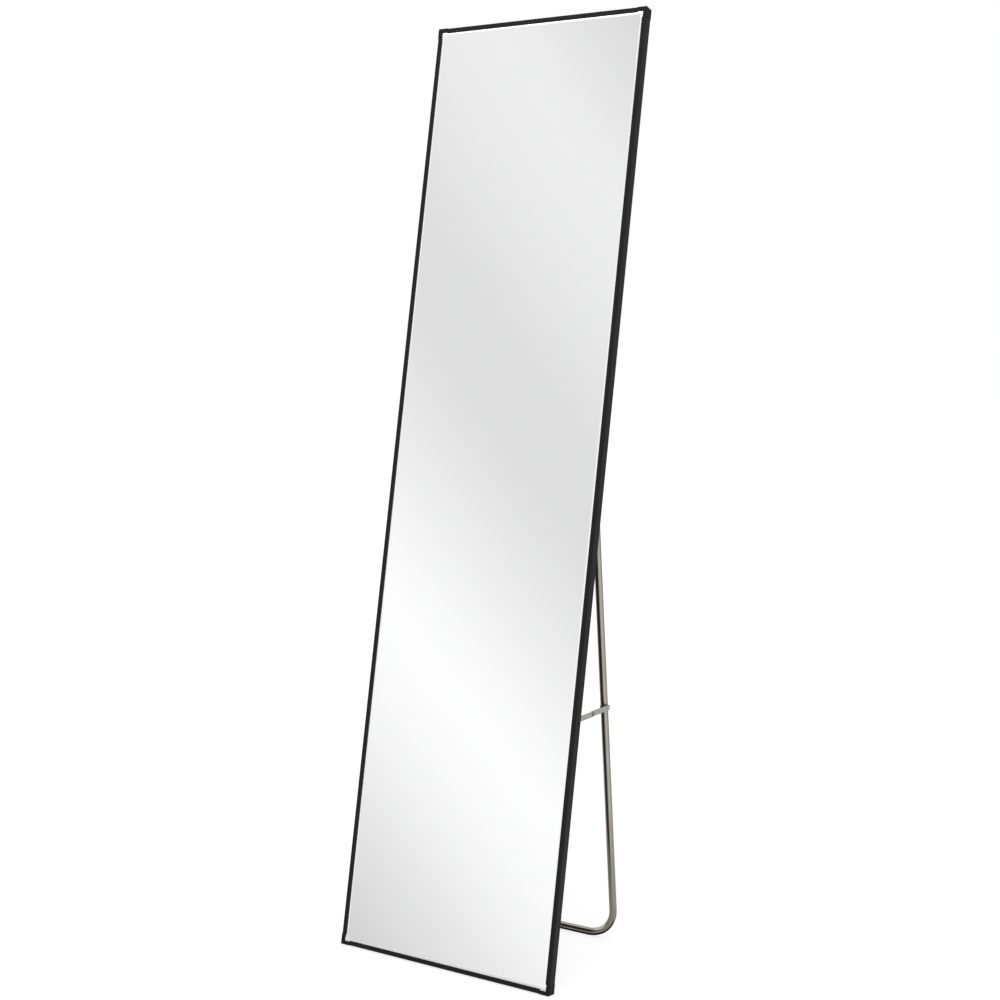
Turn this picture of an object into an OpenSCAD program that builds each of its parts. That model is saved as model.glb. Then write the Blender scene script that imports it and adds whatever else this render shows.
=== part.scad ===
// Full-length leaning mirror: a hollow aluminium frame joined by moulded plastic
// corners, a mirror pane with its backing sheets, and a folding U-shaped tube stand
// held open by two folding stays. Millimetres, +Z up, the mirror faces -Y.
// The origin is on the floor, in the middle of the box that the whole mirror fills.

/* [Frame] */
// Outer width of the frame
frame_w = 377; // [340:1:420]
// Outer height of the frame, measured along the glass
frame_h = 1500; // [1300:1:1700]
// Depth of the frame, front to back
frame_d = 17; // [15:0.5:20]
// Width of the extrusion, seen from the front
rail_w = 7.2; // [6.5:0.1:9]
// Wall thickness of the extrusion
wall = 1.2; // [1:0.1:1.4]
// Radius of the extrusion's outer edges
edge_r = 0.8; // [0.3:0.1:1]
// Backward lean of the frame from the vertical, in degrees
lean = 9.5; // [8:0.1:11]

/* [Corners] */
// Length of each arm of a corner piece, seen from outside
corner_arm = 16; // [14:0.5:22]
// Width of a corner piece's front lip
corner_lip = 5.5; // [4.5:0.1:6.2]
// How far a corner piece stands proud of the extrusion
corner_proud = 0.3; // [0.2:0.1:0.8]
// Length of the tenons that fill the ends of the extrusions
tenon_len = 34; // [24:1:45]
// Gap between a tenon and the chamber that holds it
tenon_gap = 0.1; // [0.05:0.05:0.2]
// Number of relief notches along a tenon
tenon_notches = 4; // [2:1:5]
// Width of a relief notch
notch_w = 1.6; // [1:0.1:2.4]
// Depth of a relief notch
notch_d = 0.6; // [0.3:0.1:0.9]
// Shank radius of the screws that hold the corner pieces
corner_screw_r = 1.1; // [0.9:0.1:1.2]
// Head radius of those countersunk screws
corner_screw_head_r = 2; // [1.7:0.1:2.2]
// Distance from a corner piece's end to its screw
corner_screw_at = 12; // [8:0.5:18]
// Taper at the tip of a tenon
tenon_taper = 1.1; // [0.5:0.1:1.5]

/* [Mirror and backing] */
// Thickness of the mirror glass
glass_t = 4; // [3:0.1:4.5]
// Width of the ground edge that shows inside the lip
bevel_show = 3; // [1.5:0.1:6]
// How far the ground edge falls below the glass face at its outer border
bevel_drop = 0.8; // [0.3:0.1:1.5]
// Thickness of the safety film behind the glass
film_t = 0.2; // [0.1:0.05:0.4]
// Thickness of the foam sheet, as pressed in the frame
foam_t = 0.6; // [0.4:0.1:1]
// Thickness of the back panel
panel_t = 2; // [1.6:0.1:2.4]
// Gap around the sheets in the frame's groove
sheet_gap = 0.3; // [0.2:0.1:0.6]

/* [Stand] */
// Outer diameter of the stand's tube
tube_d = 12; // [10:0.5:13]
// Wall thickness of the stand's tube
tube_wall = 1; // [0.8:0.1:1.4]
// Gap between a leg and the stay link beside it
leg_gap = 0.4; // [0.3:0.05:3]
// Bend radius of the tube, on its centre line
bend_r = 48; // [36:1:60]
// Angle between the frame and the opened stand, in degrees
spread = 18.2; // [16:0.1:20]
// Height of the hinge above the bottom of the frame, along the glass
hinge_z = 746; // [700:1:800]
// Gap between the folded tube and the back of the frame
fold_gap = 0.5; // [0.4:0.1:1.5]
// Length of tube that runs on above the hinge
tube_over = 8; // [7:0.5:12]
// Thickness of the plug's rim on the end of the tube
plug_rim_t = 1.4; // [1:0.1:2]
// Length of the plug inside the tube
plug_in = 4; // [2.5:0.5:4]
// How much narrower the plug is at its inner end, on the radius
plug_taper = 0.2; // [0.1:0.05:0.4]

/* [Hinges] */
// Thickness of a hinge plate
hinge_t = 2; // [1.5:0.1:2.2]
// Length of a hinge plate along the frame
hinge_len = 44; // [36:1:60]
// Radius of the hinge plate's ear
ear_r = 7; // [6:0.5:8]
// Shank radius of the hinge bolt
bolt_r = 2.5; // [2:0.1:2.8]
// Head radius of the hinge bolt
bolt_head_r = 4.5; // [3.8:0.1:5]
// Height of the hinge bolt's head
bolt_head_h = 2; // [1.5:0.1:2.6]
// Width across the flats of the lock nut
nut_w = 8; // [7:0.1:9]
// Height of the lock nut
nut_h = 4.5; // [3.5:0.1:5]
// Length of the bolt that shows beyond the nut
bolt_end = 1; // [0.5:0.1:2]
// Outer radius of the hinge washers
washer_r = 5; // [4:0.1:5.5]
// Thickness of the inner hinge washer
washer_t = 1; // [0.8:0.1:1.5]
// Shank radius of the rivets that hold the hinge plates
plate_rivet_r = 1.6; // [1.4:0.1:1.8]
// Head radius of those rivets
plate_rivet_head_r = 3; // [2.6:0.1:3.2]
// Distance from the hinge to each of those rivets
plate_rivet_at = 15; // [13:0.5:17]

/* [Stays] */
// Width of the stay links
link_w = 8.5; // [8:0.1:9]
// Thickness of the stay links
link_t = 1.5; // [1.2:0.1:1.6]
// Distance from the hinge to the stay's pivot, along the leg
stay_leg_at = 341; // [320:1:350]
// How much further from the hinge the stay's pivot on the frame lies
stay_drop = 0.5; // [0:0.5:20]
// Gap between parts of the stay that slide past each other
slide_gap = 0.3; // [0.2:0.05:0.35]
// Shank radius of the stay's rivets
pin_r = 2; // [1.6:0.1:2.2]
// Head radius of the rivet through the leg
leg_head_r = 3.4; // [3:0.1:4.2]
// Height of that rivet's head
leg_head_h = 1.6; // [1.6:0.1:2.8]
// Radius of that rivet's set end, between the legs
leg_tail_r = 3.2; // [2.6:0.1:4]
// Height of that rivet's set end
leg_tail_h = 1.3; // [0.8:0.1:2]
// Head radius of the rivets at the frame
stay_head_r = 3.5; // [3:0.1:3.8]
// Head radius of the rivets at the knee
knee_head_r = 3.6; // [3:0.1:4]
// Height of the low rivet heads at the frame and the knee
low_head_h = 1.4; // [1:0.1:1.5]
// Radius of the pit that the mandrel leaves in a blind rivet's head
mandrel_r = 0.9; // [0.7:0.1:1.1]
// Depth of that pit
mandrel_pit = 1; // [0.5:0.1:1.2]

/* [Hangers] */
// Distance from the frame's side to the middle of a hanger plate
hanger_inset = 78.5; // [50:0.5:120]
// Distance from the top of the frame down to the hanger plates
hanger_drop = 1; // [0.5:0.1:2]
// Width of a hanger plate
hanger_w = 32; // [28:1:40]
// Height of a hanger plate
hanger_h = 31; // [28:1:40]
// Thickness of a hanger plate
hanger_t = 1.2; // [1:0.1:1.6]
// Radius of the keyhole's round part
key_r = 4.5; // [4:0.1:5]
// Radius of the keyhole's slot
key_slot_r = 2.25; // [2:0.05:2.5]
// Length of the keyhole's slot, from the round part's centre
key_len = 11; // [8:0.5:12]
// Metal left below the keyhole's round part
key_margin = 3.5; // [2.5:0.1:5]
// Distance between the two screws of a hanger plate
hanger_screw_gap = 20; // [18:1:22]
// Shank radius of the hanger screws
hanger_screw_r = 1.4; // [1.2:0.1:1.5]
// Head radius of the hanger screws
hanger_head_r = 2.8; // [2.4:0.1:3]
// Height of the hanger screws' heads
hanger_head_h = 1.5; // [1:0.1:2]

/* [Hidden] */
$fn = 48;

// Overshoot that makes a cut clear of a face
eps = 0.5;
// Radial clearance of a pin that turns in its hole
pin_fit = 0.05;
// Steps in each rounded edge of an outline
arc_steps = 4;
// Steps in the round end of a hinge plate's ear
ear_steps = 24;
// Corner radius of the hinge plates and of the hanger plates
plate_corner_r = 2.5;
// How far a blind rivet swells beyond its hole, on the radius
plate_rivet_swell = 0.6;
stay_rivet_swell = 0.2;

// Groove that holds the sheets, and the hollow chamber behind it
groove_y = wall;
web_y = wall + glass_t + film_t + foam_t + panel_t;
chamber_y0 = web_y + wall;
chamber_y1 = frame_d - wall;
chamber_mid = (chamber_y0 + chamber_y1) / 2;
stile_in_x = frame_w / 2 - rail_w;

// The sheets, as wide and as high as the groove allows
sheet_w = frame_w - 2 * (wall + sheet_gap);
sheet_h = frame_h - 2 * (wall + sheet_gap);
bevel_w = rail_w - wall - sheet_gap + bevel_show;

// Where the stay's parts lie, from the stile inwards to the leg
inner_link_x = stile_in_x - slide_gap - link_t;
outer_link_x = inner_link_x - slide_gap - link_t;
stay_y = web_y + link_w / 2 + slide_gap;
stay_z = hinge_z - stay_leg_at - stay_drop;
stile_wall_x = stile_in_x + wall;

// The tube and its hinge
tube_r = tube_d / 2;
leg_out_x = outer_link_x - leg_gap;
leg_x = leg_out_x - tube_r;
hinge_y = frame_d + fold_gap + tube_r;

// Lean, and the height that puts the lowest edge on the floor
lift = frame_d * sin(lean) + corner_proud * cos(lean);
hinge_height = hinge_z * cos(lean) - hinge_y * sin(lean) + lift;
leg_len = (hinge_height - tube_r) / cos(spread - lean);

// The open stay is straight, from the frame's pivot to the leg's
leg_pivot_y = hinge_y + stay_leg_at * sin(spread);
leg_pivot_z = hinge_z - stay_leg_at * cos(spread);
stay_span = norm([leg_pivot_y - stay_y, leg_pivot_z - stay_z]);
open_angle = atan2(leg_pivot_z - stay_z, leg_pivot_y - stay_y);

// The folded stay's knee lies just behind the frame, above both pivots, and
// the two links keep the open stay's length between them
knee_fold_y = frame_d + knee_head_r + fold_gap;
knee_dy1 = knee_fold_y - stay_y;
knee_dy2 = knee_fold_y - hinge_y;
knee_sum = pow(stay_span, 2) + pow(knee_dy2, 2) - pow(knee_dy1, 2) + pow(stay_drop, 2);
knee_a = knee_sum / (2 * stay_span);
knee_b = stay_drop / stay_span;
quad_a = 1 - pow(knee_b, 2);
quad_b = 2 * knee_a * knee_b - 2 * stay_drop;
quad_c = pow(knee_dy2, 2) + pow(stay_drop, 2) - pow(knee_a, 2);
knee_rise = (-quad_b + sqrt(pow(quad_b, 2) - 4 * quad_a * quad_c)) / (2 * quad_a);
inner_len = norm([knee_dy1, knee_rise]);
outer_len = stay_span - inner_len;

// Hanger plates, screwed to the middle of the top rail's back
hanger_x = frame_w / 2 - hanger_inset;
hanger_top = frame_h - hanger_drop;
hanger_screw_z = frame_h - rail_w / 2;
key_z = hanger_top - hanger_h + key_margin + key_r;

// Front-to-back extent of the whole, which centres it on the origin
function back_of(y, z) = y * cos(lean) + z * sin(lean);
front_y = back_of(-corner_proud, -corner_proud);
foot_y = back_of(hinge_y, hinge_z) + leg_len * sin(spread - lean) + tube_r;
corner_back_y = back_of(frame_d, frame_h + corner_proud);
screw_back_y = back_of(frame_d + hanger_t + hanger_head_h, hanger_screw_z + hanger_head_r);
plate_back_y = back_of(frame_d + hanger_t, hanger_top);
back_y = max(foot_y, corner_back_y, screw_back_y, plate_back_y);
mid_y = (front_y + back_y) / 2;

// Points of an arc, for the rounded edges of an outline
function arc(c, r, from, to, steps = arc_steps) = [
    for (i = [0 : steps])
        let (a = from + (to - from) * i / steps)
            c + r * [cos(a), sin(a)]
];

// Leans what is drawn upright, and sets it on the floor
module leaned() {
    translate([0, -mid_y, lift])
        rotate([-lean, 0, 0])
            children();
}

// The stand's own frame: the hinge axis at the origin, the legs along -Z
module on_stand() {
    leaned()
        translate([0, hinge_y, hinge_z])
            rotate([spread, 0, 0])
                children();
}

// A copy on the left, a copy on the right
module both_sides() {
    children();
    mirror([1, 0, 0])
        children();
}

module left_side() {
    mirror([1, 0, 0])
        children();
}

// A pin or a hole along X, from x0 to x1, through the point y, z
module pin_x(r, x0, x1, y = 0, z = 0) {
    translate([x0, y, z])
        rotate([0, 90, 0])
            cylinder(r = r, h = x1 - x0);
}

// A low domed head on a plane square to X, rising towards dir * X
module dome_x(r, h, x, dir, y = 0, z = 0) {
    ball = (r * r + h * h) / (2 * h);
    translate([x, y, z])
        rotate([0, 90 * dir, 0])
            intersection() {
                translate([0, 0, h - ball])
                    sphere(r = ball);
                cylinder(r = r + eps, h = h + eps);
            }
}

// Cross-section of the extrusion: the outer face on the Y axis, the front on the X
// axis, the inside towards -X
module profile() {
    lip_r = wall / 3;
    difference() {
        polygon(concat(
            arc([-edge_r, edge_r], edge_r, 0, -90),
            arc([-rail_w + lip_r, lip_r], lip_r, -90, -180),
            [[-rail_w, wall], [-wall, wall], [-wall, web_y], [-rail_w, web_y]],
            arc([-rail_w + lip_r, frame_d - lip_r], lip_r, 180, 90),
            arc([-edge_r, frame_d - edge_r], edge_r, 90, 0)
        ));
        translate([-rail_w + wall, chamber_y0])
            square([rail_w - 2 * wall, chamber_y1 - chamber_y0]);
    }
}

// A length of the extrusion along Z, its outer face on the plane x = 0
module bar(length) {
    linear_extrude(height = length)
        profile();
}

// A countersunk corner screw along -Y, its head flush with the frame's back. As a
// cut, it runs on by over behind the head.
module corner_screw(over) {
    sink = corner_screw_head_r - corner_screw_r;
    rotate([90, 0, 0]) {
        translate([0, 0, -over])
            cylinder(r1 = corner_screw_head_r + over, r2 = corner_screw_r, h = sink + over);
        cylinder(r = corner_screw_r, h = frame_d - chamber_mid + corner_screw_r);
    }
}

// Places of the two screws of the top right corner
corner_screw_spots = [
    [frame_w / 2 - rail_w / 2, frame_h - corner_arm - corner_screw_at],
    [frame_w / 2 - corner_arm - corner_screw_at, frame_h - rail_w / 2]
];

module screws_of_corner(over = 0) {
    for (p = corner_screw_spots)
        translate([p[0], frame_d, p[1]])
            corner_screw(over);
}

// Puts a shape made for the top right corner at all four corners
module four_corners() {
    both_sides() {
        children();
        translate([0, 0, frame_h])
            mirror([0, 0, 1])
                children();
    }
}

// The shank of a blind rivet, along X from x0 into the stile and swollen behind the
// stile's wall. As a cut, it runs on by over past its end.
module blind_shank(r, swell, x0, over = 0) {
    pin_x(r, x0, stile_wall_x + wall + over);
    pin_x(r + swell, stile_wall_x, stile_wall_x + wall + over);
}

// A blind rivet whose domed head, with the mandrel's pit, lies at x0
module blind_rivet(r, swell, head_r, x0) {
    difference() {
        union() {
            dome_x(head_r, low_head_h, x0, -1);
            blind_shank(r, swell, x0);
        }
        pin_x(mandrel_r, x0 - low_head_h - eps, x0 - low_head_h + mandrel_pit);
    }
}

// Right stile, with the holes for the hinge plate, the stay and the corner screws
module stile() {
    difference() {
        translate([frame_w / 2, 0, corner_arm])
            bar(frame_h - 2 * corner_arm);
        for (side = [-1, 1])
            translate([0, chamber_mid, hinge_z + side * plate_rivet_at])
                blind_shank(plate_rivet_r, plate_rivet_swell, stile_in_x - eps, eps);
        translate([0, stay_y, stay_z])
            blind_shank(pin_r, stay_rivet_swell, stile_in_x - eps, eps);
        screws_of_corner(eps);
        translate([0, 0, frame_h])
            mirror([0, 0, 1])
                screws_of_corner(eps);
    }
}

module rail_bar() {
    translate([frame_w / 2 - corner_arm, 0, frame_h])
        rotate([0, -90, 0])
            bar(frame_w - 2 * corner_arm);
}

module right_stile() {
    color([0.07, 0.07, 0.075])
        leaned()
            stile();
}

module left_stile() {
    color([0.07, 0.07, 0.075])
        leaned()
            left_side()
                stile();
}

module top_rail() {
    color([0.07, 0.07, 0.075])
        leaned()
            difference() {
                rail_bar();
                both_sides() {
                    screws_of_corner(eps);
                    hanger_screw_pair(eps);
                }
            }
}

module bottom_rail() {
    color([0.07, 0.07, 0.075])
        leaned()
            translate([0, 0, frame_h])
                mirror([0, 0, 1])
                    difference() {
                        rail_bar();
                        both_sides()
                            screws_of_corner(eps);
                    }
}

// One level of a corner piece: an L in the XZ plane, w wide, from y0 to y1
module corner_level(w, y0, y1) {
    p = corner_proud;
    a = corner_arm;
    translate([0, y1, 0])
        rotate([90, 0, 0])
            linear_extrude(height = y1 - y0)
                polygon(concat(
                    [[-w, -w], [-a, -w], [-a, p]],
                    arc([p - edge_r, p - edge_r], edge_r, 90, 0),
                    [[p, -a], [-w, -a]]
                ));
}

// One tenon of a corner piece, down from the end of its arm
module tenon() {
    tw = rail_w - 2 * wall - 2 * tenon_gap;
    td = chamber_y1 - chamber_y0 - 2 * tenon_gap;
    tip = tenon_taper;
    pitch = tenon_len / (tenon_notches + 2);
    translate([-rail_w + wall + tenon_gap, chamber_y0 + tenon_gap, -corner_arm - tenon_len])
        difference() {
            translate([0, td, 0])
                rotate([90, 0, 0])
                    linear_extrude(height = td)
                        polygon([
                            [tip, 0], [tw - tip, 0], [tw, 2 * tip],
                            [tw, tenon_len + wall], [0, tenon_len + wall], [0, 2 * tip]
                        ]);
            for (i = [1 : tenon_notches])
                translate([-eps, -eps, i * pitch - notch_w / 2])
                    cube([tw + 2 * eps, notch_d + eps, notch_w]);
        }
}

// The top right corner piece
module corner_piece() {
    difference() {
        translate([frame_w / 2, 0, frame_h]) {
            corner_level(corner_lip, -corner_proud, groove_y);
            corner_level(wall, groove_y, web_y);
            corner_level(rail_w, web_y, frame_d);
            tenon();
            rotate([0, 90, 0])
                mirror([1, 0, 0])
                    tenon();
        }
        screws_of_corner(eps);
    }
}

module corner_top_right() {
    color([0.05, 0.05, 0.05])
        leaned()
            corner_piece();
}

module corner_top_left() {
    color([0.05, 0.05, 0.05])
        leaned()
            left_side()
                corner_piece();
}

module corner_bottom_right() {
    color([0.05, 0.05, 0.05])
        leaned()
            translate([0, 0, frame_h])
                mirror([0, 0, 1])
                    corner_piece();
}

module corner_bottom_left() {
    color([0.05, 0.05, 0.05])
        leaned()
            translate([0, 0, frame_h])
                mirror([0, 0, 1])
                    left_side()
                        corner_piece();
}

module corner_screws() {
    color([0.3, 0.3, 0.3])
        leaned()
            four_corners()
                screws_of_corner();
}

// Cross-section of the pane, across its width or its height
module pane_section(size) {
    polygon([
        [-size / 2, glass_t], [-size / 2, bevel_drop], [-size / 2 + bevel_w, 0],
        [size / 2 - bevel_w, 0], [size / 2, bevel_drop], [size / 2, glass_t]
    ]);
}

// The pane, with a ground edge that slopes back on all four sides
module mirror_glass() {
    color([0.85, 0.87, 0.88])
        leaned()
            translate([0, groove_y, frame_h / 2])
                intersection() {
                    translate([0, 0, -sheet_h / 2])
                        linear_extrude(height = sheet_h)
                            pane_section(sheet_w);
                    rotate([0, 90, 0])
                        translate([0, 0, -sheet_w / 2])
                            linear_extrude(height = sheet_w)
                                pane_section(sheet_h);
                }
}

// A flat sheet of thickness t, its front face at depth y
module sheet(y, t) {
    translate([-sheet_w / 2, y, (frame_h - sheet_h) / 2])
        cube([sheet_w, t, sheet_h]);
}

module safety_film() {
    color([0.6, 0.62, 0.64])
        leaned()
            sheet(groove_y + glass_t, film_t);
}

module foam_sheet() {
    color([0.9, 0.9, 0.88])
        leaned()
            sheet(groove_y + glass_t + film_t, foam_t);
}

module back_panel() {
    color([0.16, 0.15, 0.14])
        leaned()
            sheet(web_y - panel_t, panel_t);
}

// A pin along -Y at each of the right hanger's two screws, from depth y0 to y1
module hanger_pins(r, y0, y1) {
    for (side = [-1, 1])
        translate([hanger_x + side * hanger_screw_gap / 2, y1, hanger_screw_z])
            rotate([90, 0, 0])
                cylinder(r = r, h = y1 - y0);
}

// The shanks of those screws, into the top rail. As a cut, they run on by over.
module hanger_screw_pair(over = 0) {
    hanger_pins(hanger_screw_r, chamber_mid, frame_d + hanger_t + over);
}

// The right hanger plate, which hangs down over the hollow behind the back panel
module hanger_plate() {
    r = plate_corner_r;
    x0 = hanger_x - hanger_w / 2;
    x1 = hanger_x + hanger_w / 2;
    z0 = hanger_top - hanger_h;
    difference() {
        translate([0, frame_d + hanger_t, 0])
            rotate([90, 0, 0])
                linear_extrude(height = hanger_t)
                    polygon(concat(
                        arc([x0 + r, z0 + r], r, 180, 270),
                        arc([x1 - r, z0 + r], r, 270, 360),
                        [[x1, hanger_top], [x0, hanger_top]]
                    ));
        translate([hanger_x, frame_d + hanger_t + eps, key_z])
            rotate([90, 0, 0]) {
                cylinder(r = key_r, h = hanger_t + 2 * eps);
                translate([0, key_len, 0])
                    cylinder(r = key_slot_r, h = hanger_t + 2 * eps);
                translate([-key_slot_r, 0, 0])
                    cube([2 * key_slot_r, key_len, hanger_t + 2 * eps]);
            }
        hanger_screw_pair(eps);
    }
}

module hanger_plate_right() {
    color([0.7, 0.7, 0.7])
        leaned()
            hanger_plate();
}

module hanger_plate_left() {
    color([0.7, 0.7, 0.7])
        leaned()
            left_side()
                hanger_plate();
}

module hanger_screws() {
    color([0.6, 0.6, 0.6])
        leaned()
            both_sides() {
                hanger_screw_pair();
                hanger_pins(hanger_head_r, frame_d + hanger_t, frame_d + hanger_t + hanger_head_h);
            }
}

// The right hinge plate: a strip on the stile's inner wall, with an ear to the rear
module hinge_plate() {
    y0 = web_y + slide_gap;
    y1 = frame_d - slide_gap;
    end = hinge_len / 2;
    foot = end - plate_corner_r;
    reach = hinge_y - y1;
    // The ear's sides leave the strip at foot and meet the ear's round end as tangents
    side_angle = atan2(foot, -reach) - acos(ear_r / norm([foot, reach]));
    translate([stile_in_x - hinge_t, 0, hinge_z])
        rotate([90, 0, 90])
            linear_extrude(height = hinge_t)
                difference() {
                    polygon(concat(
                        arc([y0 + plate_corner_r, foot], plate_corner_r, 180, 90),
                        [[y1 - plate_corner_r, end], [y1, foot]],
                        arc([hinge_y, 0], ear_r, side_angle, -side_angle, ear_steps),
                        [[y1, -foot], [y1 - plate_corner_r, -end]],
                        arc([y0 + plate_corner_r, -foot], plate_corner_r, 270, 180)
                    ));
                    translate([hinge_y, 0])
                        circle(r = bolt_r);
                    for (side = [-1, 1])
                        translate([chamber_mid, side * plate_rivet_at])
                            circle(r = plate_rivet_r);
                }
}

module hinge_plate_right() {
    color([0.72, 0.72, 0.72])
        leaned()
            hinge_plate();
}

module hinge_plate_left() {
    color([0.72, 0.72, 0.72])
        leaned()
            left_side()
                hinge_plate();
}

module hinge_plate_rivets() {
    color([0.65, 0.65, 0.65])
        leaned()
            both_sides()
                for (side = [-1, 1])
                    translate([0, chamber_mid, hinge_z + side * plate_rivet_at])
                        blind_rivet(plate_rivet_r, plate_rivet_swell, plate_rivet_head_r,
                            stile_in_x - hinge_t);
}

// Where the washers and the nut of a hinge bolt lie, from the plate inwards
outer_washer_x = leg_out_x + slide_gap;
inner_washer_x = leg_x - tube_r - slide_gap - washer_t;
nut_x = inner_washer_x - nut_h;

// The right hinge bolt: head outside the plate, shank through the tube
module hinge_bolt() {
    difference() {
        union() {
            dome_x(bolt_head_r, bolt_head_h, stile_in_x, 1, hinge_y, hinge_z);
            pin_x(bolt_r, nut_x - bolt_end, stile_in_x, hinge_y, hinge_z);
        }
        translate([stile_in_x + bolt_head_h / 2, hinge_y, hinge_z])
            rotate([0, 90, 0])
                cylinder(r = bolt_r / 2, h = bolt_head_h, $fn = 6);
    }
}

module hinge_bolt_right() {
    color([0.75, 0.75, 0.75])
        leaned()
            hinge_bolt();
}

module hinge_bolt_left() {
    color([0.75, 0.75, 0.75])
        leaned()
            left_side()
                hinge_bolt();
}

module washer_x(x0, x1) {
    difference() {
        pin_x(washer_r, x0, x1, hinge_y, hinge_z);
        pin_x(bolt_r, x0 - eps, x1 + eps, hinge_y, hinge_z);
    }
}

// Nylon washers on both sides of each leg
module hinge_washers() {
    color([0.9, 0.9, 0.88])
        leaned()
            both_sides() {
                washer_x(outer_washer_x, stile_in_x - hinge_t);
                washer_x(inner_washer_x, inner_washer_x + washer_t);
            }
}

module hinge_nuts() {
    color([0.75, 0.75, 0.75])
        leaned()
            both_sides()
                difference() {
                    translate([nut_x, hinge_y, hinge_z])
                        rotate([0, 90, 0])
                            cylinder(r = nut_w / sqrt(3), h = nut_h, $fn = 6);
                    pin_x(bolt_r, nut_x - eps, nut_x + nut_h + eps, hinge_y, hinge_z);
                }
}

// Half of the U, as a solid rod of radius r
module half_u(r, over) {
    translate([leg_x, 0, bend_r - leg_len])
        cylinder(r = r, h = leg_len - bend_r + over);
    translate([leg_x - bend_r, 0, bend_r - leg_len])
        rotate([-90, 0, 0])
            rotate_extrude(angle = 90)
                translate([bend_r, 0])
                    circle(r = r);
    translate([-eps, 0, -leg_len])
        rotate([0, 90, 0])
            cylinder(r = r, h = leg_x - bend_r + eps);
}

// The stand: one bent tube, cross-drilled for the hinge bolts and the stays' rivets
module stand_tube() {
    color([0.62, 0.6, 0.57])
        on_stand()
            difference() {
                both_sides()
                    half_u(tube_r, tube_over);
                both_sides()
                    half_u(tube_r - tube_wall, tube_over + eps);
                both_sides() {
                    pin_x(bolt_r + pin_fit, leg_x - tube_d, leg_x + tube_d);
                    pin_x(pin_r, leg_x - tube_d, leg_x + tube_d, 0, -stay_leg_at);
                }
            }
}

// Plastic plugs in the tube's upper ends
module tube_plugs() {
    bore = tube_r - tube_wall;
    color([0.08, 0.08, 0.08])
        on_stand()
            both_sides()
                translate([leg_x, 0, tube_over]) {
                    cylinder(r1 = tube_r, r2 = tube_r - plug_rim_t / 2, h = plug_rim_t);
                    translate([0, 0, -plug_in])
                        cylinder(r1 = bore - plug_taper, r2 = bore, h = plug_in + plug_rim_t / 2);
                }
}

// Rivets through the legs, with the outer links under their heads
module leg_rivets() {
    head_x = outer_link_x + link_t + slide_gap / 2;
    tail_x = leg_x - tube_r;
    color([0.75, 0.75, 0.75])
        on_stand()
            both_sides()
                translate([0, 0, -stay_leg_at]) {
                    dome_x(leg_head_r, leg_head_h, head_x, 1);
                    pin_x(pin_r, tail_x - leg_tail_h / 2, head_x);
                    dome_x(leg_tail_r, leg_tail_h, tail_x, -1);
                }
}

// Rivets that hold the inner links to the stiles
module stay_frame_rivets() {
    color([0.75, 0.75, 0.75])
        leaned()
            both_sides()
                translate([0, stay_y, stay_z])
                    blind_rivet(pin_r, stay_rivet_swell, stay_head_r, inner_link_x - slide_gap / 2);
}

// A flat link with round ends and a hole at each end, along Y from its first hole
module link(length, r0, r1) {
    rotate([90, 0, 90])
        linear_extrude(height = link_t)
            difference() {
                union() {
                    circle(d = link_w);
                    translate([length, 0])
                        circle(d = link_w);
                    translate([0, -link_w / 2])
                        square([length, link_w]);
                }
                circle(r = r0);
                translate([length, 0])
                    circle(r = r1);
            }
}

// The open stay's line, from the pivot on the frame towards the leg
module on_stay_line() {
    leaned()
        translate([0, stay_y, stay_z])
            rotate([open_angle, 0, 0])
                children();
}

module inner_link() {
    translate([inner_link_x, 0, 0])
        link(inner_len, pin_r + pin_fit, pin_r);
}

module outer_link() {
    translate([outer_link_x, stay_span, 0])
        mirror([0, 1, 0])
            link(outer_len, pin_r + pin_fit, pin_r);
}

module stay_inner_link_right() {
    color([0.78, 0.78, 0.76])
        on_stay_line()
            inner_link();
}

module stay_inner_link_left() {
    color([0.78, 0.78, 0.76])
        on_stay_line()
            left_side()
                inner_link();
}

module stay_outer_link_right() {
    color([0.78, 0.78, 0.76])
        on_stay_line()
            outer_link();
}

module stay_outer_link_left() {
    color([0.78, 0.78, 0.76])
        on_stay_line()
            left_side()
                outer_link();
}

// The knee's rivet, in two parts: the head stays in the inner link, the flush tail
// in the outer link
module knee_head() {
    head_x = inner_link_x + link_t;
    dome_x(knee_head_r, low_head_h, head_x, 1, inner_len, 0);
    pin_x(pin_r, inner_link_x, head_x, inner_len, 0);
}

module knee_tail() {
    pin_x(pin_r, outer_link_x, outer_link_x + link_t, inner_len, 0);
}

module knee_head_right() {
    color([0.75, 0.75, 0.75])
        on_stay_line()
            knee_head();
}

module knee_head_left() {
    color([0.75, 0.75, 0.75])
        on_stay_line()
            left_side()
                knee_head();
}

module knee_tail_right() {
    color([0.75, 0.75, 0.75])
        on_stay_line()
            knee_tail();
}

module knee_tail_left() {
    color([0.75, 0.75, 0.75])
        on_stay_line()
            left_side()
                knee_tail();
}

left_stile();
right_stile();
top_rail();
bottom_rail();
corner_top_left();
corner_top_right();
corner_bottom_left();
corner_bottom_right();
corner_screws();
mirror_glass();
safety_film();
foam_sheet();
back_panel();
hanger_plate_left();
hanger_plate_right();
hanger_screws();
hinge_plate_left();
hinge_plate_right();
hinge_plate_rivets();
hinge_bolt_left();
hinge_bolt_right();
hinge_washers();
hinge_nuts();
stay_frame_rivets();
stand_tube();
tube_plugs();
leg_rivets();
stay_inner_link_left();
stay_inner_link_right();
knee_head_left();
knee_head_right();
stay_outer_link_left();
stay_outer_link_right();
knee_tail_left();
knee_tail_right();
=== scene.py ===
"""Looks of the full-length leaning mirror: finishes, machined small parts, studio and camera."""
import math

import bpy
import bmesh
from mathutils import Matrix, Vector


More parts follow.
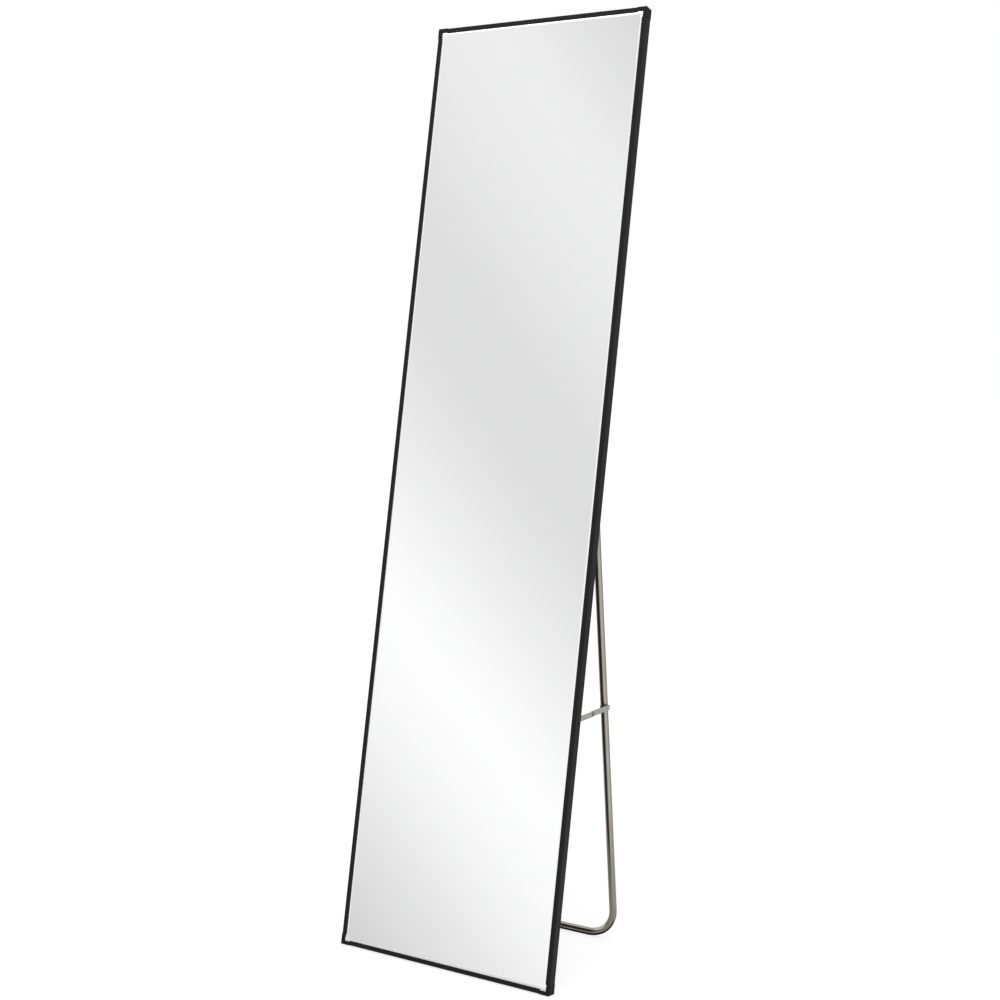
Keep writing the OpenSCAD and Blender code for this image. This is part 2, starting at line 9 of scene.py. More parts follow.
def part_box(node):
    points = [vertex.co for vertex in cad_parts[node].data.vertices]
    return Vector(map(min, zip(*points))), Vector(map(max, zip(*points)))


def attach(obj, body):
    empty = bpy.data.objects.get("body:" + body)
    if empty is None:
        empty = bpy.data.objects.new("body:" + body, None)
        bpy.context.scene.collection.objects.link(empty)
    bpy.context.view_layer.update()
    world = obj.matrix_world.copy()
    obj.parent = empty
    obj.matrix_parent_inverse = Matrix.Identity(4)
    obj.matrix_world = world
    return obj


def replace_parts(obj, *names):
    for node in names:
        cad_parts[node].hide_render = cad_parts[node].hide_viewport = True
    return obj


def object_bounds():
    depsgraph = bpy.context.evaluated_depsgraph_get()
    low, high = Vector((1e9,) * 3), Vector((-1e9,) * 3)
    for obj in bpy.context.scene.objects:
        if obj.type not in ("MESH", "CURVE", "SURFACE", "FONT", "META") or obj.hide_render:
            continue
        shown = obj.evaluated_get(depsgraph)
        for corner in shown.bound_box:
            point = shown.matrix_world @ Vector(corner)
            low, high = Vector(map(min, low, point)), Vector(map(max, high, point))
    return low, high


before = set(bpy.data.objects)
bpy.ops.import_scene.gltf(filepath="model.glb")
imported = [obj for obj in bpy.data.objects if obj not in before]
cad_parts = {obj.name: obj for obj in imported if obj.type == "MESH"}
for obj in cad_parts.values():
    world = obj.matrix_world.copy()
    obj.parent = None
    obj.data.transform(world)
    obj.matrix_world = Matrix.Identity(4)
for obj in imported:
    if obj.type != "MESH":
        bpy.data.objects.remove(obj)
cad_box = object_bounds()
scene = bpy.context.scene

# Driving sizes of the frame, in metres, as in the part's source
LEAN = math.radians(9.5)
FRAME_W = 0.377
FRAME_H = 1.5
FRAME_D = 0.017
RAIL_W = 0.0072
WALL = 0.0012
BEVEL_SHOW = 0.003
CORNER_ARM = 0.016
CORNER_PROUD = 0.0003
CORNER_SCREW_AT = 0.012
CORNER_SCREW_HEAD_R = 0.002
HANGER_INSET = 0.0785
HANGER_T = 0.0012
HANGER_SCREW_GAP = 0.020
HANGER_HEAD_R = 0.0028
HANGER_HEAD_H = 0.0015
NUT_W = 0.008
NUT_H = 0.0045
BOLT_R = 0.0025
LIFT = FRAME_D * math.sin(LEAN) + CORNER_PROUD * math.cos(LEAN)
FRONT = -CORNER_PROUD * (math.cos(LEAN) + math.sin(LEAN))

# Carries the upright frame's coordinates to the world, as the source's leaned() does
LEANED = Matrix.Translation((0, cad_box[0][1] - FRONT, LIFT)) @ Matrix.Rotation(-LEAN, 4, "X")

# Where nearly all of a noise texture's values lie
NOISE_LOW = 0.3
NOISE_HIGH = 0.7

# Profiles of the small parts
CORNER_HEAD = [(0.62, -0.38), (1.0, 0.0), (0.97, 0.04), (0.7, 0.1)]  # radius and height, in head radii
HANGER_HEAD = [(0.96, 0.0), (1.0, 0.14), (0.99, 0.45), (0.9, 0.76), (0.72, 0.94), (0.6, 1.0)]  # shares
ROUND_STEPS = 28
NUT_STEPS = 48

# The photograph's camera, solved from the edges of the frame and of the stand
LENS_MM = 54.042
SENSOR_MM = 36.0
CAMERA_PLACE = (1.18671, -2.03242, 0.92564)
CAMERA_FORWARD = (-0.498548, 0.86243, -0.087544)
CAMERA_RIGHT = (0.864711, 0.501878, 0.019826)

# Tones of the studio
WHITE = (1.0, 1.0, 1.0, 1.0)
DARK = (0.03, 0.03, 0.03, 1.0)
LAMP = (3.4, 3.4, 3.4, 1.0)
ROOM_LIGHT = 0.55


def rgb(*values):
    """A colour written as sRGB values from 0 to 255, made linear."""
    shares = [v / 255 for v in values]
    return tuple(v / 12.92 if v <= 0.04045 else ((v + 0.055) / 1.055) ** 2.4 for v in shares)


# Node helpers
class Nodes:
    """Short names for building a node tree."""

    def __init__(self, tree):
        self.tree = tree
        tree.nodes.clear()

    def add(self, kind, **values):
        node = self.tree.nodes.new(kind)
        for key, value in values.items():
            setattr(node, key, value)
        return node

    def link(self, a, b):
        self.tree.links.new(a, b)

    def put(self, socket, value):
        """Links value to socket if it is a socket, and sets it otherwise."""
        if isinstance(value, bpy.types.NodeSocket):
            self.link(value, socket)
        else:
            socket.default_value = value

    def math(self, operation, a, b=0.0, clamp=False):
        node = self.add("ShaderNodeMath", operation=operation, use_clamp=clamp)
        self.put(node.inputs[0], a)
        self.put(node.inputs[1], b)
        return node.outputs[0]

    def wrap(self, value, high, low):
        """Brings a value into the range from low to high by whole turns."""
        node = self.add("ShaderNodeMath", operation="WRAP")
        for socket, v in zip(node.inputs, (value, high, low)):
            self.put(socket, v)
        return node.outputs[0]

    def product(self, *values):
        result = values[0]
        for value in values[1:]:
            result = self.math("MULTIPLY", result, value)
        return result

    def mix(self, share, a, b, blend="MIX"):
        node = self.add("ShaderNodeMix", data_type="RGBA", blend_type=blend)
        self.put(node.inputs[0], share)
        self.put(node.inputs[6], a)
        self.put(node.inputs[7], b)
        return node.outputs[2]

    def spread(self, value, low, high, to_low=0.0, to_high=1.0, smooth=False):
        """Maps low to high onto to_low to to_high, and holds the end values outside."""
        node = self.add("ShaderNodeMapRange", clamp=True)
        if smooth:
            node.interpolation_type = "SMOOTHSTEP"
        for socket, v in zip(node.inputs, (value, low, high, to_low, to_high)):
            self.put(socket, v)
        return node.outputs[0]

    def patch(self, *edges):
        """A patch with soft edges; an edge is a value, where the patch is gone and where it is full."""
        return self.product(*(self.spread(value, gone, full, smooth=True) for value, gone, full in edges))

    def vary(self, noise, strength):
        """A factor that the noise moves by up to strength below and above one."""
        return self.spread(noise, NOISE_LOW, NOISE_HIGH, 1 - strength, 1 + strength)

    def greys(self, value, stops):
        """A smooth run of greys; each stop is a value and its grey, an sRGB level from 0 to 255."""
        low, high = stops[0][0], stops[-1][0]
        node = self.add("ShaderNodeValToRGB")
        node.color_ramp.interpolation = "CARDINAL"
        points = node.color_ramp.elements
        while len(points) < len(stops):
            points.new(0.5)
        for point, (at, level) in zip(points, stops):
            point.position = (at - low) / (high - low)
            point.color = (*rgb(level, level, level), 1.0)
        self.link(self.spread(value, low, high), node.inputs[0])
        return node.outputs[0]

    def dot(self, a, b):
        node = self.add("ShaderNodeVectorMath", operation="DOT_PRODUCT")
        self.put(node.inputs[0], a)
        self.put(node.inputs[1], b)
        return node.outputs["Value"]

    def noise(self, where, scale, detail, roughness, stretch=(1, 1, 1), turn=(0, 0, 0)):
        """Noise on coordinates that are turned and stretched; small stretch values give long grain."""
        mapping = self.add("ShaderNodeMapping", vector_type="POINT")
        self.link(where, mapping.inputs[0])
        mapping.inputs["Rotation"].default_value = turn
        squeeze = self.add("ShaderNodeVectorMath", operation="MULTIPLY")
        self.link(mapping.outputs[0], squeeze.inputs[0])
        squeeze.inputs[1].default_value = stretch
        node = self.add("ShaderNodeTexNoise")
        self.link(squeeze.outputs[0], node.inputs["Vector"])
        node.inputs["Scale"].default_value = scale
        node.inputs["Detail"].default_value = detail
        node.inputs["Roughness"].default_value = roughness
        return node.outputs[0]

    def relief(self, bsdf, height, strength, depth):
        """Raises the surface of a shader by a height, up to depth in metres."""
        node = self.add("ShaderNodeBump")
        node.inputs["Strength"].default_value = strength
        node.inputs["Distance"].default_value = depth
        self.link(height, node.inputs["Height"])
        self.link(node.outputs[0], bsdf.inputs["Normal"])


def shader(name):
    """A new material with its nodes, its shader and the object's own coordinates."""
    material = bpy.data.materials.new(name)
    material.use_nodes = True
    n = Nodes(material.node_tree)
    out = n.add("ShaderNodeOutputMaterial")
    bsdf = n.add("ShaderNodeBsdfPrincipled")
    n.link(bsdf.outputs[0], out.inputs[0])
    return material, n, bsdf, n.add("ShaderNodeTexCoord").outputs["Object"]


def finish(name, colour, rough, mottle, bump, depth, metallic=0.0, level=0.5, anisotropic=0.0, warm=None,
           grain=None, grain_turn=(0, 0, 0), grain_show=0.1, speck=None, wear_and_shade=None, wear_and_shade_width=0.0004,
           painted_shade=None):
    """A procedural finish.

    mottle: scale and strength of soft blotches; bump and depth: strength and height of the relief;
    level: how strongly a surface that isn't metal shines; warm: a second colour in the blotches;
    grain: stretch of the long grain, or None; speck: scale and strength of a fine texture;
    wear_and_shade: the colour along the edges, or None: lighter edges are rubbed wear, the rivets'
    darker rims are painted shade; painted_shade: reach and strength of the painted shade that ambient
    occlusion puts in corners and against other pieces, or None.
    """
    material, n, bsdf, where = shader(name)
    blotch = n.noise(where, mottle[0], 5.0, 0.55)
    value = n.vary(blotch, mottle[1])
    height = n.math("MULTIPLY", blotch, 0.15)
    shine = n.spread(blotch, NOISE_LOW, NOISE_HIGH, rough * 0.9, rough * 1.12)
    if grain:
        lines = n.noise(where, 1.0, 6.0, 0.7, grain, grain_turn)
        value = n.math("MULTIPLY", value, n.vary(lines, grain_show))
        height = n.math("ADD", height, lines)
        shine = n.math("MULTIPLY", shine, n.vary(lines, 0.15))
    if speck:
        dots = n.noise(where, speck[0], 2.0, 0.6)
        value = n.math("MULTIPLY", value, n.vary(dots, speck[1]))
        height = n.math("ADD", height, dots)
    base = (*colour, 1.0)
    tone = n.mix(n.spread(blotch, 0.4, 0.62), base, (*warm, 1.0)) if warm else base
    tone = n.mix(1.0, tone, value, "MULTIPLY")
    # The edge colour: lighter edges are rubbed wear; the rivets' darker rims are painted shade
    if wear_and_shade:
        bevel = n.add("ShaderNodeBevel", samples=4)
        bevel.inputs["Radius"].default_value = wear_and_shade_width
        geometry = n.add("ShaderNodeNewGeometry")
        turned = n.dot(bevel.outputs[0], geometry.outputs["Normal"])
        edge_breakup = n.noise(where, 180.0, 4.0, 0.65)
        edge = n.math("MULTIPLY", n.spread(turned, 0.98, 0.8), n.spread(edge_breakup, 0.45, 0.62), clamp=True)
        tone = n.mix(edge, tone, (*wear_and_shade, 1.0))
        shine = n.math("SUBTRACT", shine, n.math("MULTIPLY", edge, 0.08))
    # Painted shade: ambient occlusion darkens the colour in corners and against other pieces
    if painted_shade:
        reach, strength = painted_shade
        corner = n.add("ShaderNodeAmbientOcclusion", samples=8)
        corner.inputs["Distance"].default_value = reach
        tone = n.mix(1.0, tone, n.spread(corner.outputs["AO"], 0.4, 0.95, 1 - strength, 1.0), "MULTIPLY")
    n.put(bsdf.inputs["Base Color"], tone)
    n.put(bsdf.inputs["Roughness"], shine)
    bsdf.inputs["Metallic"].default_value = metallic
    bsdf.inputs["Specular IOR Level"].default_value = level
    bsdf.inputs["Anisotropic"].default_value = anisotropic
    n.relief(bsdf, height, bump, depth)
    return material


def mirror_finish():
    """Silvered glass with the faintest haze, and a pale ground edge just inside the frame's lip."""
    material, n, bsdf, where = shader("silvered_glass")
    across = n.math("ABSOLUTE", n.dot(where, (1.0, 0.0, 0.0)))
    up = Vector((0.0, math.sin(LEAN), math.cos(LEAN)))
    middle = (LEANED @ Vector((0.0, WALL, FRAME_H / 2))).dot(up)
    along = n.math("SUBTRACT", n.dot(where, up), middle)
    border = RAIL_W + BEVEL_SHOW
    soft = 0.0002
    side = n.spread(across, FRAME_W / 2 - border - soft, FRAME_W / 2 - border + soft)
    end = n.spread(n.math("ABSOLUTE", along), FRAME_H / 2 - border - soft, FRAME_H / 2 - border + soft)
    foot = n.spread(along, border + soft - FRAME_H / 2, border - soft - FRAME_H / 2)
    ground = n.math("MAXIMUM", side, end)
    haze = n.noise(where, 5.0, 6.0, 0.6, (1.0, 1.0, 0.35), (0.0, 0.5, 0.0))
    clear = n.mix(n.spread(haze, 0.3, 0.75), (0.988, 0.992, 0.99, 1), (0.978, 0.983, 0.981, 1))
    n.link(n.mix(ground, clear, (0.99, 0.995, 0.99, 1)), bsdf.inputs["Base Color"])
    rough = n.spread(haze, 0.45, 0.8, 0.004, 0.03)
    n.link(n.math("ADD", rough, n.math("MULTIPLY", ground, 0.14)), bsdf.inputs["Roughness"])
    frosted = n.math("ADD", n.math("MULTIPLY", ground, 0.15), n.math("MULTIPLY", foot, 0.75))
    n.link(n.math("SUBTRACT", 1.0, frosted), bsdf.inputs["Metallic"])
    waves = n.noise(where, 3.0, 1.0, 0.4, (1.0, 1.0, 0.25), (-LEAN, 0, 0))
    n.relief(bsdf, waves, 0.02, 0.0002)
    return material


# Finishes
BLACK_METAL = dict(colour=rgb(26, 25, 26), rough=0.34, mottle=(22, 0.07), grain_turn=(-LEAN, 0, 0),
                   grain_show=0.12, bump=0.12, depth=0.00006, wear_and_shade=rgb(50, 48, 48), wear_and_shade_width=0.0004,
                   level=0.17)
BLACK_PLASTIC = dict(rough=0.5, speck=(2600, 0.12), bump=0.35, depth=0.00008)
# Painted shade: the fasteners darken in corners and against the pieces they hold
FASTENER = dict(metallic=1.0, mottle=(160, 0.08), speck=(1500, 0.05), bump=0.12, depth=0.00004,
                painted_shade=(0.002, 0.5))

stile_black = finish("stile_black", grain=(500, 500, 3), **BLACK_METAL)
rail_black = finish("rail_black", grain=(3, 500, 500), **BLACK_METAL)
corner_black = finish("corner_black", rgb(24, 23, 23), mottle=(60, 0.1), wear_and_shade=rgb(46, 45, 45),
                      wear_and_shade_width=0.0003, level=0.17, **BLACK_PLASTIC)
plug_black = finish("plug_black", rgb(36, 36, 36), mottle=(80, 0.1), level=0.4, **BLACK_PLASTIC)
# Painted shade: the tube darkens where it meets the floor and where the stays cross it
tube_plate = finish("tube_plate", rgb(192, 185, 176), 0.17, mottle=(26, 0.05), bump=0.08, depth=0.00003,
                    metallic=1.0, anisotropic=0.2, warm=rgb(182, 174, 163), speck=(1400, 0.04),
                    painted_shade=(0.005, 0.7))
# Painted shade: the links darken strongly round the rivets and where they overlap at the knee; they are
# also darker along their edges
zinc = finish("zinc", rgb(236, 233, 228), 0.3, mottle=(140, 0.2), bump=0.22, depth=0.00005, metallic=1.0,
              warm=rgb(206, 207, 205), grain=(60, 900, 900), grain_show=0.12, wear_and_shade=rgb(170, 169, 166),
              wear_and_shade_width=0.0004, painted_shade=(0.006, 0.85))
steel = finish("steel", rgb(182, 182, 181), 0.27, wear_and_shade=rgb(226, 226, 226), wear_and_shade_width=0.0002, **FASTENER)
# Painted shade: the dark rim round each leg rivet's head stands in for the shadow in the gap round it
rivet_bright = finish("rivet_bright", rgb(222, 221, 218), 0.28, wear_and_shade=rgb(70, 69, 68), wear_and_shade_width=0.0012,
                      **FASTENER)
# Painted shade: the knee rivets are darker all over and darker still at their rims, for the shade at the
# stay's knee
rivet_painted_shade = finish("rivet_painted_shade", rgb(140, 139, 136), 0.34, wear_and_shade=rgb(90, 89, 87), wear_and_shade_width=0.0006,
                    **FASTENER)
rivet_metal = finish("rivet_metal", rgb(196, 197, 198), 0.36, mottle=(200, 0.07), bump=0.12,
                     depth=0.00004, metallic=1.0, warm=rgb(186, 186, 188), speck=(1800, 0.05))
nylon = finish("nylon", rgb(226, 224, 214), 0.5, mottle=(150, 0.04), bump=0.15, depth=0.00005,
               speck=(2200, 0.03))
film_grey = finish("film_grey", rgb(150, 152, 154), 0.45, mottle=(14, 0.05), bump=0.1, depth=0.00003,
                   speck=(900, 0.04))
foam_white = finish("foam_white", rgb(228, 228, 224), 0.85, mottle=(40, 0.04), bump=0.5, depth=0.0002,
                    speck=(1400, 0.08))
board = finish("board", rgb(74, 71, 68), 0.62, mottle=(9, 0.1), bump=0.3, depth=0.0001, level=0.3,
               warm=rgb(68, 66, 64), grain=(140, 140, 26), grain_turn=(-LEAN, 0, 0), grain_show=0.08,
               speck=(700, 0.12))
silvered = mirror_finish()

LOOKS = {
    "left_stile": stile_black, "right_stile": stile_black,
    "top_rail": rail_black, "bottom_rail": rail_black,
    "corner_top_left": corner_black, "corner_top_right": corner_black,
    "corner_bottom_left": corner_black, "corner_bottom_right": corner_black,
    "corner_screws": steel, "mirror_glass": silvered, "safety_film": film_grey, "foam_sheet": foam_white,
    "back_panel": board, "hanger_plate_left": zinc, "hanger_plate_right": zinc, "hanger_screws": steel,
    "hinge_plate_left": zinc, "hinge_plate_right": zinc, "hinge_plate_rivets": rivet_metal,
    "hinge_bolt_left": steel, "hinge_bolt_right": steel, "hinge_washers": nylon, "hinge_nuts": steel,
    "stay_frame_rivets": steel, "stand_tube": tube_plate, "tube_plugs": plug_black,
    "leg_rivets": rivet_bright, "stay_inner_link_left": zinc, "stay_inner_link_right": zinc,
    "knee_head_left": rivet_painted_shade, "knee_head_right": rivet_painted_shade,
    "stay_outer_link_left": zinc, "stay_outer_link_right": zinc,
    "knee_tail_left": rivet_painted_shade, "knee_tail_right": rivet_painted_shade,
}

for node_name, node_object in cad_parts.items():
    node_object.data.materials.clear()
    node_object.data.materials.append(LOOKS[node_name])


# Small parts
def add_piece(name, bm, material, smooth_below=40.0):
    """Turns a bmesh into an object on the frame; edges sharper than smooth_below degrees stay sharp."""
    bmesh.ops.recalc_face_normals(bm, faces=bm.faces)
    for face in bm.faces:
        face.smooth = True
    for edge in bm.edges:
        edge.smooth = len(edge.link_faces) == 2 and edge.calc_face_angle(0.0) < math.radians(smooth_below)
    mesh = bpy.data.meshes.new(name)
    bm.to_mesh(mesh)
    bm.free()
    obj = bpy.data.objects.new(name, mesh)
    scene.collection.objects.link(obj)
    mesh.materials.append(material)
    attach(obj, "frame")
    return obj


def ring(bm, points, place):
    return [bm.verts.new(place @ Vector(p)) for p in points]


def bridge(bm, low, high):
    for i in range(len(low)):
        j = (i + 1) % len(low)
        bm.faces.new((low[i], low[j], high[j], high[i]))


def bridge_round(bm, rings):
    """Joins each ring to the next, and the last to the first."""
    for low, high in zip(rings, rings[1:] + rings[:1]):
        bridge(bm, low, high)


def circle(r, z, count):
    turns = [2 * math.pi * i / count for i in range(count)]
    return [(r * math.cos(a), r * math.sin(a), z) for a in turns]


def cross(reach, half, z):
    """Outline of a cross, as in a cross-head screw."""
    corner = [(reach, -half), (reach, half), (half, half)]
    points = []
    for quarter in range(4):
        c, s = math.cos(quarter * math.pi / 2), math.sin(quarter * math.pi / 2)
        points += [(x * c - y * s, x * s + y * c, z) for x, y in corner]
    return points


def screw_head(bm, place, rings, reach, depth):
    """A head turned from rings of radius and height, base first, with a cross recess in its top."""
    turned = [ring(bm, circle(r, z, ROUND_STEPS), place) for r, z in rings]
    for low, high in zip(turned, turned[1:]):
        bridge(bm, low, high)
    bm.faces.new(turned[0])
    top = rings[-1][1]
    half = reach * 0.3
    mouth = ring(bm, cross(reach, half, top), place)
    rim = turned[-1]
    edges = [bm.edges.new((a, b)) for a, b in zip(mouth, mouth[1:] + mouth[:1])]
    edges += [bm.edges.get((a, b)) for a, b in zip(rim, rim[1:] + rim[:1])]
    bmesh.ops.triangle_fill(bm, use_beauty=True, edges=edges)
    floor_ring = ring(bm, cross(reach * 0.5, half * 0.8, top - depth), place)
    bridge(bm, mouth, floor_ring)
    bm.faces.new(floor_ring)


def backwards(x, y, z, turn):
    """A place on the frame whose Z axis points out of the frame's back, turned by turn radians."""
    facing = Matrix.Rotation(-math.pi / 2, 4, "X")
    return LEANED @ Matrix.Translation((x, y, z)) @ facing @ Matrix.Rotation(turn, 4, "Z")


def corner_screws():
    """Countersunk heads, a hair above the flush surface of the corner joints, each at its own angle."""
    bm = bmesh.new()
    r = CORNER_SCREW_HEAD_R
    rings = [(r * across, high * r) for across, high in CORNER_HEAD]
    far = CORNER_ARM + CORNER_SCREW_AT
    near = RAIL_W / 2
    for k, (from_side, from_end) in enumerate([(near, far), (far, near)]):
        for side in (-1, 1):
            for z in (from_end, FRAME_H - from_end):
                turn = 0.7 + 1.9 * k + 0.8 * side + 3.1 * z
                place = backwards(side * (FRAME_W / 2 - from_side), FRAME_D, z, turn)
                screw_head(bm, place, rings, r * 0.55, r * 0.4)
    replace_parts(add_piece("corner_screw_heads", bm, steel), "corner_screws")


def hanger_screws():
    """Pan heads on the hanger plates, each at its own angle."""
    bm = bmesh.new()
    r = HANGER_HEAD_R
    rings = [(r * across, high * HANGER_HEAD_H) for across, high in HANGER_HEAD]
    for k, x in enumerate((-1, 1)):
        for side in (-1, 1):
            place = backwards(x * (FRAME_W / 2 - HANGER_INSET) + side * HANGER_SCREW_GAP / 2,
                              FRAME_D + HANGER_T, FRAME_H - RAIL_W / 2, 0.4 + 2.2 * k + 1.3 * side)
            screw_head(bm, place, rings, r * 0.5, r * 0.35)
    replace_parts(add_piece("hanger_screw_heads", bm, steel), "hanger_screws")


def nut_places():
    """Where the two lock nuts stand: on the inner washers, pointing inwards."""
    low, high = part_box("hinge_nuts")
    y, z = (low[1] + high[1]) / 2, (low[2] + high[2]) / 2
    for side in (-1, 1):
        inwards = Matrix.Rotation(-side * math.pi / 2, 4, "Y")
        yield Matrix.Translation((side * high[0], y, z)) @ inwards


def hexagon(flat, limit, z):
    """A hexagon with flats at the distance flat from its middle, cut off round at the radius limit."""
    points = []
    for i in range(NUT_STEPS):
        a = 2 * math.pi * i / NUT_STEPS
        corner = flat / math.cos((a + math.pi / 6) % (math.pi / 3) - math.pi / 6)
        r = min(corner, limit)
        points.append((r * math.cos(a), r * math.sin(a), z))
    return points


def lock_nuts():
    """Chamfered hexagon nuts with a rolled collar, and the nylon rings in their collars."""
    metal, plastic = bmesh.new(), bmesh.new()
    flat = NUT_W / 2
    outer = flat * 2 / math.sqrt(3)
    hex_h = NUT_H * 0.68
    chamfer = NUT_H * 0.12
    collar_r = flat * 0.86
    steps = [(0.0, flat * 0.98), (chamfer * 0.4, flat * 1.05), (chamfer, outer), (hex_h - chamfer, outer),
             (hex_h - chamfer * 0.4, flat * 1.05), (hex_h, flat * 0.96)]
    collar = [(collar_r, hex_h), (collar_r, NUT_H - 0.0006), (collar_r * 0.94, NUT_H - 0.0001),
              (collar_r * 0.86, NUT_H), (collar_r * 0.82, NUT_H - 0.0003), (collar_r * 0.82, hex_h),
              (BOLT_R, hex_h)]
    lining = [(BOLT_R, hex_h), (collar_r * 0.81, hex_h), (collar_r * 0.81, NUT_H - 0.0004),
              (BOLT_R, NUT_H - 0.0005)]
    for place in nut_places():
        rings = [ring(metal, circle(BOLT_R, 0.0, NUT_STEPS), place)]
        rings += [ring(metal, hexagon(flat, limit, z), place) for z, limit in steps]
        rings += [ring(metal, circle(r, z, NUT_STEPS), place) for r, z in collar]
        bridge_round(metal, rings)
        bridge_round(plastic, [ring(plastic, circle(r, z, NUT_STEPS), place) for r, z in lining])
    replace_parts(add_piece("lock_nuts", metal, steel, 35.0), "hinge_nuts")
    add_piece("lock_nut_rings", plastic, nylon)


corner_screws()
hanger_screws()
lock_nuts()


# Studio
def studio_world():
    """White for the camera, a room for what shines, and plain light for the rest.

    The room has a card, a lamp and dark surfaces. Azimuths and heights are in degrees, and the azimuth
    is 0 straight before the mirror.
    """
    world = bpy.data.worlds.new("studio")
    scene.world = world
    world.use_nodes = True
    n = Nodes(world.node_tree)
    out = n.add("ShaderNodeOutputWorld")
    where = n.add("ShaderNodeTexCoord").outputs["Generated"]
    split = n.add("ShaderNodeSeparateXYZ")
    n.link(where, split.inputs[0])
    x, y, z = split.outputs
    azimuth = n.math("MULTIPLY", n.math("ARCTAN2", x, n.math("MULTIPLY", y, -1.0)), 180 / math.pi)
    height = n.math("MULTIPLY", n.math("ARCSINE", z), 180 / math.pi)

    # The pale card before the mirror: its tone runs diagonally, from its lower left to its upper right
    along = n.math("ADD", height, n.math("MULTIPLY", n.math("ADD", azimuth, 31.0), 0.9))
    card_tone = n.greys(along, [(-10, 203), (-6, 218), (-2, 238), (3.5, 254), (8, 243), (12, 229),
                                (15.5, 223), (19, 228), (24.5, 238), (28, 233), (34, 214)])
    card = n.patch((azimuth, -42.0, -38.0), (azimuth, -21.0, -24.5),
                   (height, 34.0, 30.5), (height, -11.0, -7.5))

    # The white room round it, a little grey in front, so that the mirror isn't blank from other sides
    slant = n.math("SUBTRACT", height, n.math("MULTIPLY", azimuth, 0.8))
    wall_tone = n.greys(slant, [(-90, 252), (-55, 224), (-30, 238), (-12, 250), (0, 254),
                                (12, 253), (30, 247), (42, 240), (54, 252), (110, 254)])
    in_front = n.patch((azimuth, -100.0, -75.0), (azimuth, 100.0, 75.0))
    seen = n.mix(in_front, WHITE, wall_tone)

    # A soft lamp high in front, which shines on the upper half of the black frame
    lamp = n.patch((azimuth, -68.0, -60.0), (azimuth, 2.0, -6.0),
                   (height, 35.0, 40.0), (height, 64.0, 56.0))
    seen = n.mix(lamp, seen, LAMP)
    seen = n.mix(card, seen, card_tone)

    # A dark cloth below the card, which the lower half of the black frame picks up
    cloth = n.patch((azimuth, -120.0, -90.0), (azimuth, 40.0, 10.0), (height, -8.0, -13.0))
    seen = n.mix(n.math("MULTIPLY", cloth, 0.75), seen, DARK)

    # The grey flag behind the mirror, on the right: it keeps the frame's side and the tube's edge dark
    behind = n.math("ABSOLUTE", n.wrap(n.math("SUBTRACT", azimuth, 165.0), 180.0, -180.0))
    flag = n.patch((behind, 95.0, 35.0), (height, 70.0, 45.0))
    seen = n.mix(n.math("MULTIPLY", flag, 0.54), seen, DARK)

    # A dark board high on the left, which narrows the shine along the cross tube
    aside = n.patch((azimuth, -105.0, -90.0), (azimuth, -54.0, -64.0),
                    (height, 36.0, 42.0), (height, 64.0, 59.0))
    seen = n.mix(n.math("MULTIPLY", aside, 0.85), seen, DARK)

    path = n.add("ShaderNodeLightPath")
    seen = n.mix(path.outputs["Is Camera Ray"], seen, WHITE)
    shown = n.add("ShaderNodeBackground")
    n.link(seen, shown.inputs[0])
    light = n.add("ShaderNodeBackground")
    light.inputs[0].default_value = WHITE
    light.inputs[1].default_value = ROOM_LIGHT
    shines = n.math("MAXIMUM", path.outputs["Is Glossy Ray"], path.outputs["Is Transmission Ray"])
    which = n.math("MAXIMUM", path.outputs["Is Camera Ray"], shines)
    blend = n.add("ShaderNodeMixShader")
    n.link(which, blend.inputs[0])
    n.link(light.outputs[0], blend.inputs[1])
    n.link(shown.outputs[0], blend.inputs[2])
    n.link(blend.outputs[0], out.inputs[0])


def sun(name, towards, strength, degrees):
    """A soft lamp that shines along the vector towards, and is degrees wide."""
    data = bpy.data.lights.new(name, "SUN")
    data.energy = strength
    data.angle = math.radians(degrees)
    obj = bpy.data.objects.new(name, data)
    obj.rotation_euler = Vector(towards).to_track_quat("-Z", "Y").to_euler()
    obj.visible_glossy = False
    scene.collection.objects.link(obj)


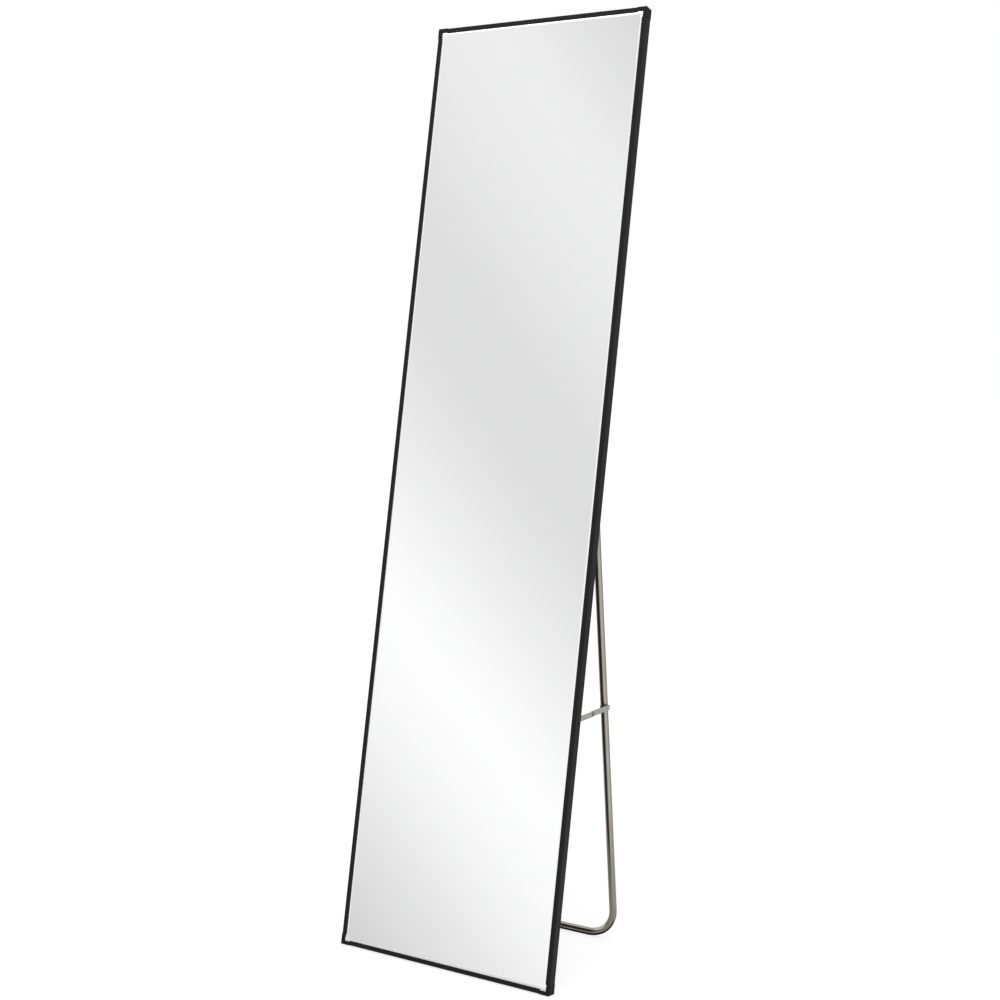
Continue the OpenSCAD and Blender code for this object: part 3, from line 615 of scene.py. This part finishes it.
def sheet_on_floor(name, x0, x1, y0, y1, z, grey, glow=0.0):
    """A plain sheet on the floor, of a grey that glows to the camera alone."""
    mesh = bpy.data.meshes.new(name)
    mesh.from_pydata([(x0, y0, z), (x1, y0, z), (x1, y1, z), (x0, y1, z)], [], [(0, 1, 2, 3)])
    obj = bpy.data.objects.new(name, mesh)
    scene.collection.objects.link(obj)
    material = bpy.data.materials.new(name + "_paper")
    material.use_nodes = True
    n = Nodes(material.node_tree)
    out = n.add("ShaderNodeOutputMaterial")
    paper = n.add("ShaderNodeBsdfDiffuse")
    paper.inputs[0].default_value = (grey, grey, grey, 1.0)
    shine = n.add("ShaderNodeEmission")
    to_camera = n.add("ShaderNodeLightPath").outputs["Is Camera Ray"]
    n.link(n.math("MULTIPLY", to_camera, glow), shine.inputs[1])
    both = n.add("ShaderNodeAddShader")
    n.link(paper.outputs[0], both.inputs[0])
    n.link(shine.outputs[0], both.inputs[1])
    n.link(both.outputs[0], out.inputs[0])
    mesh.materials.append(material)
    return obj


def floor():
    """A pale floor that keeps the shadow and is white to the camera, and what the tube reflects of it,
    with a painted shadow under the cross tube that only reflections see.
    """
    pale = sheet_on_floor("floor", -60.0, 60.0, -60.0, 60.0, 0.0, grey=0.36, glow=0.78)
    pale.visible_glossy = False
    under = sheet_on_floor("floor_under_the_stand", -0.6, 0.6, -0.05, 0.8, 0.00002, grey=0.68)
    # Painted shadow: a near-black strip along the cross tube, seen only in reflections, for the contact
    # shadow under it
    tube_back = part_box("stand_tube")[1][1]
    painted_shadow_strip = sheet_on_floor("painted_shadow_on_the_floor", -0.2, 0.2, tube_back - 0.018, tube_back + 0.006,
                                 0.00003, grey=0.02)
    for sheet in (under, painted_shadow_strip):
        sheet.visible_camera = False
        sheet.visible_diffuse = False
        sheet.visible_shadow = False


def camera():
    """The photograph's camera."""
    data = bpy.data.cameras.new("camera")
    data.lens = LENS_MM
    data.sensor_width = SENSOR_MM
    data.clip_start = 0.05
    data.clip_end = 200.0
    obj = bpy.data.objects.new("camera", data)
    scene.collection.objects.link(obj)
    forward = Vector(CAMERA_FORWARD).normalized()
    right = Vector(CAMERA_RIGHT).normalized()
    up = right.cross(forward).normalized()
    right = forward.cross(up)
    turn = Matrix((right, up, -forward)).transposed()
    obj.matrix_world = Matrix.Translation(CAMERA_PLACE) @ turn.to_4x4()
    scene.camera = obj


studio_world()
sun("key", towards=(-0.15, 0.75, -0.75), strength=1.1, degrees=50)
sun("fill", towards=(0.6, 0.35, -0.7), strength=0.55, degrees=70)
floor()
camera()
scene.view_settings.view_transform = "Standard"
